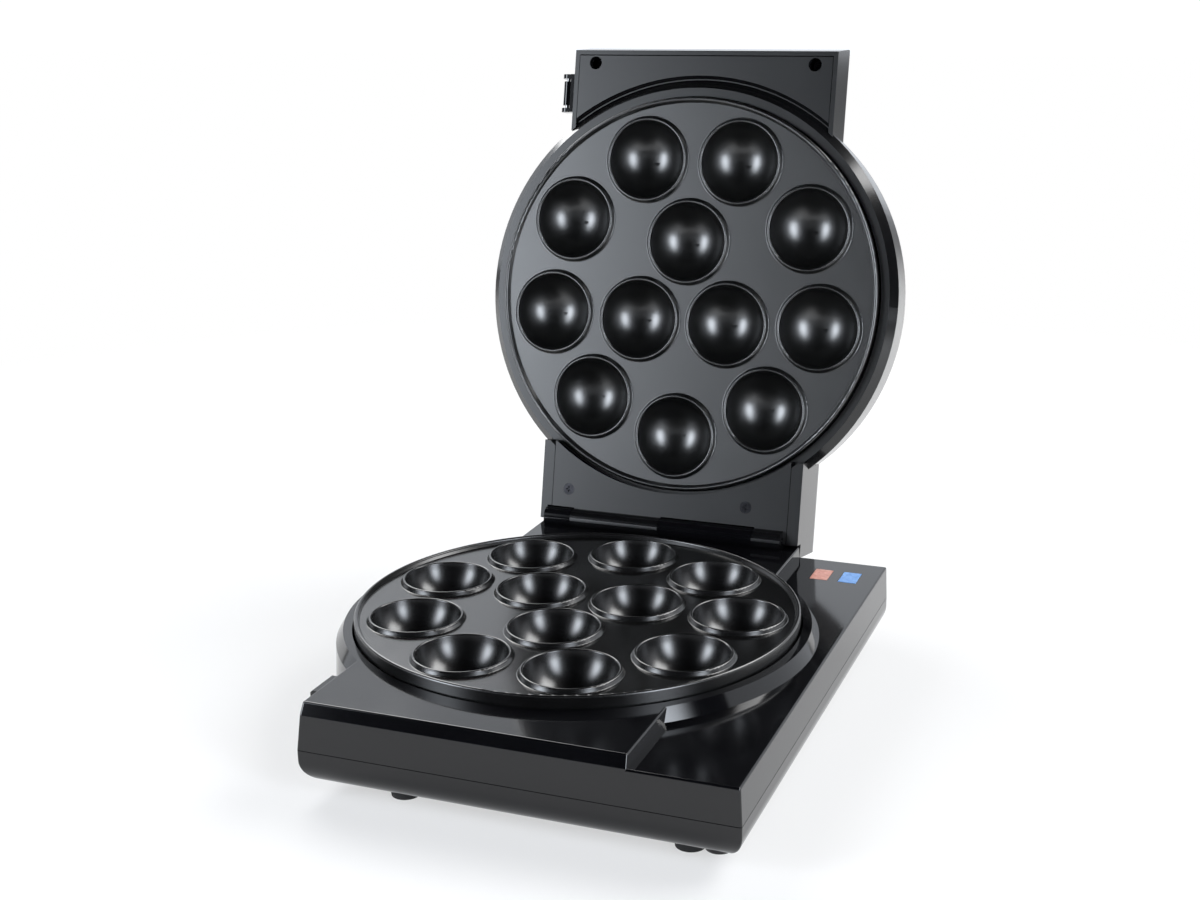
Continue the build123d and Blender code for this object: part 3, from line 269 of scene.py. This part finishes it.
def dress(material, *names):
    """Gives CAD nodes their finish."""
    for name in names:
        nodes[name].data.materials.clear()
        nodes[name].data.materials.append(material)


gloss_abs = surface("gloss_black_abs", ("#08080a", "#0a0a0c"), (0.09, 0.09), 1.6, 0.002)
dress(gloss_abs, "base_upper_shell", "base_lower_tub", "clasp_bracket", "clasp")
lid_tilt = math.radians(12.0)   # the open lid leans back by this much
lid_facing = (0.0, -math.cos(lid_tilt), math.sin(lid_tilt))
lid_abs = surface("gloss_and_satin_black_abs", ("#0b0b0c", "#0e0e0f"), (0.14, 0.38), 0.6, 0.003,
                  ior=1.6, facing=lid_facing)
dress(lid_abs, "lid_outer_shell", "lid_inner_cover")

# ------------------------------------------------------------------ cooking plates
# Cast aluminium under a sprayed black non-stick coating, slightly pebbled. The cups give soft
# glows. A coating as fine as this mirrors more at a low angle, so the flats of the lower plate are
# smoother than those of the lid's plate. Both levels lie between the flats and the cups' bottoms.
nonstick = surface("nonstick_coating", ("#070707", "#0a0a0a"), (0.26, 0.17), 0.35, 0.003,
                   patch=12.0, ior=1.65, level=40.0)
dress(nonstick, "lower_cooking_plate")
nonstick_lid = surface("nonstick_coating_lid", ("#070707", "#0a0a0a"), (0.3, 0.4), 0.35, 0.003,
                       patch=12.0, ior=1.85, facing=lid_facing, level=-82.0)
dress(nonstick_lid, "upper_cooking_plate")

# ------------------------------------------------------------------ heating, screws and hinge
# The elements are bent steel tubes, dull and brownish from heat, and the pressed shields behind
# them are bright sheet with blurred reflections. The screws are darkened steel, which shows small
# dark glints, and the pins are plain drawn steel.
element_sheath = surface("element_sheath", ("#6a625a", "#8b8276"), (0.48, 0.48), 0.4, 0.01, 0.9)
dress(element_sheath, "lower_heating_element", "upper_heating_element")
bright_sheet = surface("bright_sheet_steel", ("#b9b8b4", "#cfcecb"), (0.28, 0.28), 0.7, 0.004, 1.0)
dress(bright_sheet, "lower_heat_shield", "upper_heat_shield", "thermal_fuse")
dark_steel = surface("darkened_steel", ("#343437", "#424246"), (0.3, 0.3), 0.3, 0.004, 1.0, 3.0)
dress(dark_steel, "housing_screws", "lower_plate_screws", "upper_plate_screws", "lid_front_screws",
      "lid_rear_screws")
plain_steel = surface("plain_steel", ("#9a9a9a", "#b0b0af"), (0.25, 0.25), 0.3, 0.003, 1.0, 5.0)
dress(plain_steel, "hinge_pin", "clasp_pin")

# ------------------------------------------------------------------ feet, gland and inner mouldings
# The feet are moulded rubber and the gland is moulded nylon, both matt with a faint, broad
# highlight. Inside the base are a cream ceramic thermostat, moulded nylon bodies with a soft sheen,
# and the smooth glass of the lamps.
foot_rubber = surface("matt_black_rubber", ("#161616", "#1e1e1e"), (0.82, 0.82), 0.5, 0.02)
dress(foot_rubber, "rubber_feet")
gland_nylon = surface("matt_black_nylon", ("#141415", "#1b1b1c"), (0.55, 0.55), 0.4, 0.01)
dress(gland_nylon, "cord_inlet_gland")
ceramic = surface("cream_ceramic", ("#d8cfbd", "#e4dccb"), (0.52, 0.52), 0.5, 0.01)
dress(ceramic, "thermostat")
white_nylon = surface("natural_nylon", ("#d5d3c9", "#e2e0d6"), (0.45, 0.45), 0.5, 0.006)
dress(white_nylon, "terminal_block", "lamp_holder")
lamp_glass = surface("neon_lamp_glass", ("#d9a07c", "#e6b893"), (0.08, 0.08), 1.0, 0.001)
dress(lamp_glass, "neon_lamps")

# ------------------------------------------------------------------ signal lenses
# Frosted red and blue plastic caps, pressed into the panel over the neon lamps. The frosting
# makes them pale and a little mottled.
red_plastic = surface("frosted_red_plastic", ("#c07a68", "#d69c8c"), (0.3, 0.3), 0.5, 0.01,
                      patch=1.6)
dress(red_plastic, "red_lens")
blue_plastic = surface("frosted_blue_plastic", ("#4f88cd", "#78aae6"), (0.3, 0.3), 0.5, 0.01,
                       patch=1.6)
dress(blue_plastic, "blue_lens")
